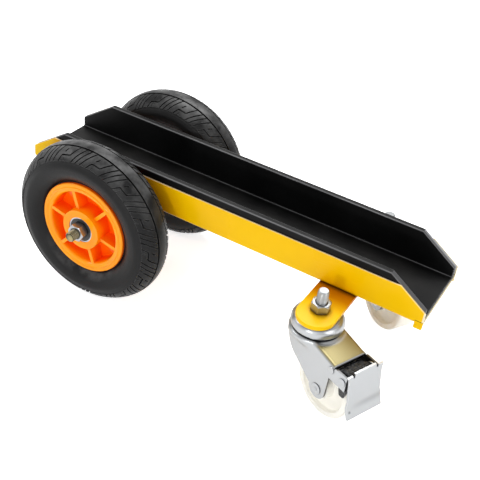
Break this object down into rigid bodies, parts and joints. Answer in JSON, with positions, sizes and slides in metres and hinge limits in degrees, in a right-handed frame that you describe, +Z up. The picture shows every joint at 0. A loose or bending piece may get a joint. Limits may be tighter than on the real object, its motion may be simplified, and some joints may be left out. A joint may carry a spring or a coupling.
{
  "type": "door dolly",
  "caption": "Door dolly: rubber-lined steel channel that holds a door on edge, on tyred rear wheels and two swivel casters, one braked.",
  "frame": {"origin": "on the floor, below the middle of the overall box as the dolly stands with its casters turned as in the picture", "axes": "+X along the channel towards the casters, +Y to the left, +Z up; the channel leans down to the casters"},
  "size_m": [0.512, 0.2764, 0.2003],
  "materials": {
    "yellow_steel": "gloss enamel",
    "liner_rubber": "smooth matt",
    "zinc_steel": "bright zinc plate",
    "plated_axle": "yellow passivated zinc",
    "tyre_rubber": "moulded, matt",
    "orange_plastic": "moulded, satin",
    "bearing_steel": "polished",
    "seal_rubber": "matt",
    "white_nylon": "moulded, satin",
    "black_plastic": "moulded, matt"
  },
  "bodies": {
    "deck": {"channel_frame": "yellow_steel", "rubber_liner": "liner_rubber", "caster_cross_plate": "yellow_steel", "right_axle_bracket": "yellow_steel", "left_axle_bracket": "yellow_steel", "axle_rod": "plated_axle", "axle_nuts": "zinc_steel", "axle_sleeves": "zinc_steel", "hub_spacers": "zinc_steel", "right_bearing_inner_rings": "bearing_steel", "right_caster_stem": "zinc_steel", "right_stem_nut": "zinc_steel", "right_swivel_cap": "zinc_steel", "left_bearing_inner_rings": "bearing_steel", "left_caster_stem": "zinc_steel", "left_stem_nut": "zinc_steel", "left_swivel_cap": "zinc_steel"},
    "right_wheel": {"right_tyre": "tyre_rubber", "right_hub": "orange_plastic", "right_bearing_outer_rings": "bearing_steel", "right_bearing_balls": "bearing_steel", "right_bearing_seals": "seal_rubber"},
    "right_swivel": {"right_caster_fork": "zinc_steel", "right_swivel_balls": "bearing_steel", "right_caster_axle": "zinc_steel", "right_caster_bush": "zinc_steel", "right_brake_pivot_pin": "zinc_steel", "right_brake_stop_pin": "zinc_steel"},
    "right_roller": {"right_caster_wheel": "white_nylon"},
    "right_brake": {"right_brake_pedal": "zinc_steel", "right_brake_cam": "black_plastic"},
    "left_wheel": {"left_tyre": "tyre_rubber", "left_hub": "orange_plastic", "left_bearing_outer_rings": "bearing_steel", "left_bearing_balls": "bearing_steel", "left_bearing_seals": "seal_rubber"},
    "left_swivel": {"left_caster_fork": "zinc_steel", "left_swivel_balls": "bearing_steel", "left_caster_axle": "zinc_steel", "left_caster_bush": "zinc_steel"},
    "left_roller": {"left_caster_wheel": "white_nylon"}
  },
  "joints": [
    {"name": "right_wheel_spin", "type": "hinge", "parent": "deck", "child": "right_wheel", "pos_m": [-0.14021, -0.0751, 0.10031], "axis": [0, 1, 0], "continuous": true},
    {"name": "right_caster_swivel", "type": "hinge", "parent": "deck", "child": "right_swivel", "pos_m": [0.15832, -0.0823, 0.11051], "axis": [0.0557, 0, 0.9984], "continuous": true},
    {"name": "right_caster_wheel_spin", "type": "hinge", "parent": "right_swivel", "child": "right_roller", "pos_m": [0.18819, -0.09668, 0.03773], "axis": [0.3901, 0.9205, -0.0218], "continuous": true},
    {"name": "right_brake", "type": "hinge", "parent": "right_swivel", "child": "right_brake", "pos_m": [0.21887, -0.10887, 0.07208], "axis": [0.3901, 0.9205, -0.0218], "range_deg": [0, 10]},
    {"name": "left_wheel_spin", "type": "hinge", "parent": "deck", "child": "left_wheel", "pos_m": [-0.14021, 0.0945, 0.10031], "axis": [0, 1, 0], "continuous": true},
    {"name": "left_caster_swivel", "type": "hinge", "parent": "deck", "child": "left_swivel", "pos_m": [0.15832, 0.0937, 0.11051], "axis": [0.0557, 0, 0.9984], "continuous": true},
    {"name": "left_caster_wheel_spin", "type": "hinge", "parent": "left_swivel", "child": "left_roller", "pos_m": [0.18518, 0.07366, 0.0379], "axis": [0.5438, 0.8387, -0.0303], "continuous": true}
  ]
}
